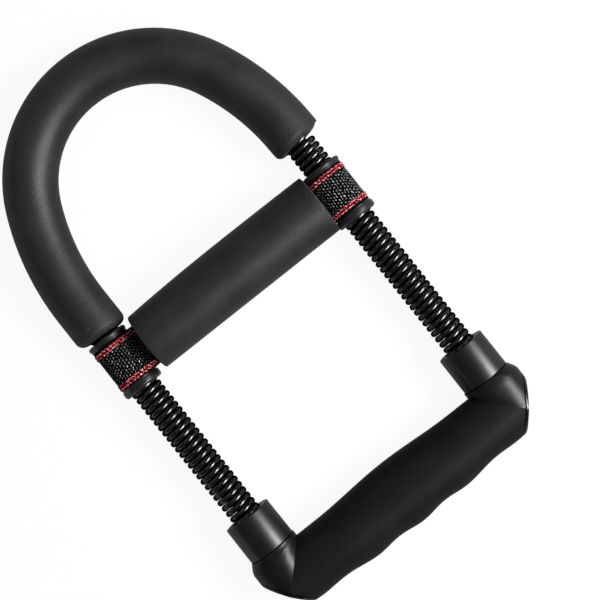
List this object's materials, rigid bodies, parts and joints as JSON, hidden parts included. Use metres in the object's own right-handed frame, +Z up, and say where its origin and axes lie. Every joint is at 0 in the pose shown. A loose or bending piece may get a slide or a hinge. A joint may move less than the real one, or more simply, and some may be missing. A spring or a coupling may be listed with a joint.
{
  "type": "forearm trainer",
  "caption": "Forearm and wrist trainer: padded U-shaped bar, two coil springs, moulded finger grip and a sliding padded crossbar hung on a webbing strap.",
  "frame": {"origin": "under the middle of the whole length and width, on the surface that the trainer lies on", "axes": "+Y along the arms from the grip to the top of the loop, +X across the arms to the right, +Z up out of the surface"},
  "size_m": [0.1768, 0.3086, 0.0339],
  "materials": {
    "foam": "matt closed-cell foam with a smooth skin",
    "webbing": "coarse woven webbing with light flecks and red edge stitching",
    "matt_plastic": "fine satin moulding",
    "gloss_plastic": "semi-gloss moulding",
    "spring_steel": "gloss black coating",
    "bar_steel": "black coating",
    "zinc_steel": "bright zinc plate"
  },
  "bodies": {
    "frame": {"u_bar": "bar_steel", "u_foam_sleeve": "foam", "left_spring": "spring_steel", "right_spring": "spring_steel", "left_spring_stop": "zinc_steel", "right_spring_stop": "zinc_steel", "left_stop_pin": "zinc_steel", "right_stop_pin": "zinc_steel"},
    "crossbar": {"forearm_strap": "webbing", "forearm_pad": "foam"},
    "left_spool_body": {"left_spool": "gloss_plastic"},
    "right_spool_body": {"right_spool": "gloss_plastic"},
    "handle": {"grip": "matt_plastic", "handle_core": "zinc_steel", "left_collar": "gloss_plastic", "right_collar": "gloss_plastic", "left_spring_plug": "zinc_steel", "right_spring_plug": "zinc_steel", "left_plug_bolt": "zinc_steel", "right_plug_bolt": "zinc_steel", "left_bolt_washer": "zinc_steel", "right_bolt_washer": "zinc_steel", "left_end_cap": "gloss_plastic", "right_end_cap": "gloss_plastic"}
  },
  "joints": [
    {"name": "arm_flex", "type": "hinge", "parent": "frame", "child": "handle", "pos_m": [0, -0.06291, 0.0141], "axis": [1, 0, 0], "range_deg": [-50, 50], "stiffness_Nm_per_rad": 12, "deforming": ["left_spring", "right_spring"]},
    {"name": "crossbar_slide", "type": "slide", "parent": "frame", "child": "crossbar", "axis": [0, 1, 0], "range_m": [-0.022, 0.0006]},
    {"name": "left_spool_turn", "type": "hinge", "parent": "crossbar", "child": "left_spool_body", "pos_m": [-0.0717, 0.00914, 0.0141], "axis": [0, 1, 0], "continuous": true},
    {"name": "right_spool_turn", "type": "hinge", "parent": "crossbar", "child": "right_spool_body", "pos_m": [0.0717, 0.00914, 0.0141], "axis": [0, 1, 0], "continuous": true}
  ]
}
